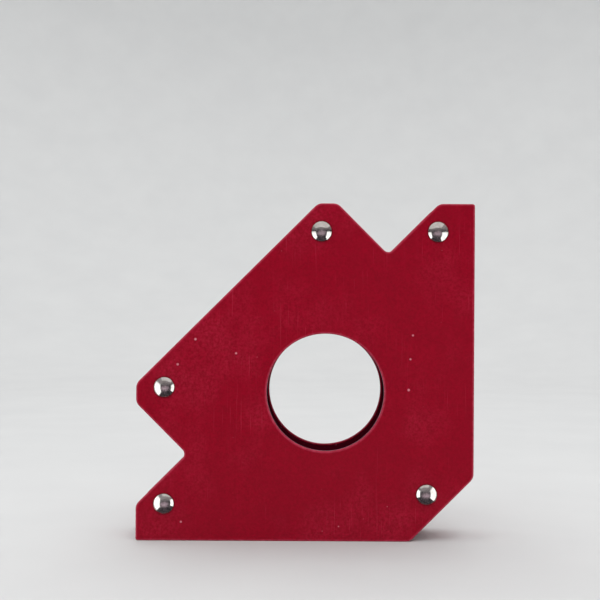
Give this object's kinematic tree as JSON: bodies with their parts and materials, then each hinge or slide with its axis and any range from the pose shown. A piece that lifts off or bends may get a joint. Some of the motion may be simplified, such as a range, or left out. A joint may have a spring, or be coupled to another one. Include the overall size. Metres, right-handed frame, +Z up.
{
  "type": "magnetic welding holder",
  "caption": "Arrow-shaped magnetic welding holder: two riveted steel side plates over ferrite blocks, with straight working edges at 45 and 90 degrees, vee notches and a round centre hole.",
  "frame": {"origin": "on the lower working edge's plane, under the middle of the bounding square, halfway through the thickness between the plates' outer faces", "axes": "+X along the lower working edge towards the upright working edge, +Y through the thickness from the front plate to the rear plate, +Z up along the upright working edge"},
  "size_m": [0.125, 0.0279, 0.125],
  "materials": {
    "red_plate": "satin",
    "red_strip": "satin",
    "ferrite": "matte",
    "spacer": "satin",
    "rivet": "polished"
  },
  "bodies": {
    "root": {"front_plate": "red_plate", "rear_plate": "red_plate", "centre_tube": "red_strip", "bottom_edge_strip": "red_strip", "tip_strip": "red_strip", "upright_edge_strip": "red_strip", "upper_vee_strip": "red_strip", "tail_strip": "red_strip", "lower_vee_strip": "red_strip", "upright_magnet_low": "ferrite", "upright_magnet_high": "ferrite", "bottom_magnet_near": "ferrite", "bottom_magnet_far": "ferrite", "tail_magnet_upper": "ferrite", "tail_magnet_lower": "ferrite", "upper_vee_magnet": "ferrite", "lower_vee_magnet": "ferrite", "tip_spacer": "spacer", "upper_barb_spacer": "spacer", "upper_tail_spacer": "spacer", "lower_tail_spacer": "spacer", "lower_barb_spacer": "spacer", "tip_rivet": "rivet", "upper_barb_rivet": "rivet", "upper_tail_rivet": "rivet", "lower_tail_rivet": "rivet", "lower_barb_rivet": "rivet"}
  },
  "joints": []
}
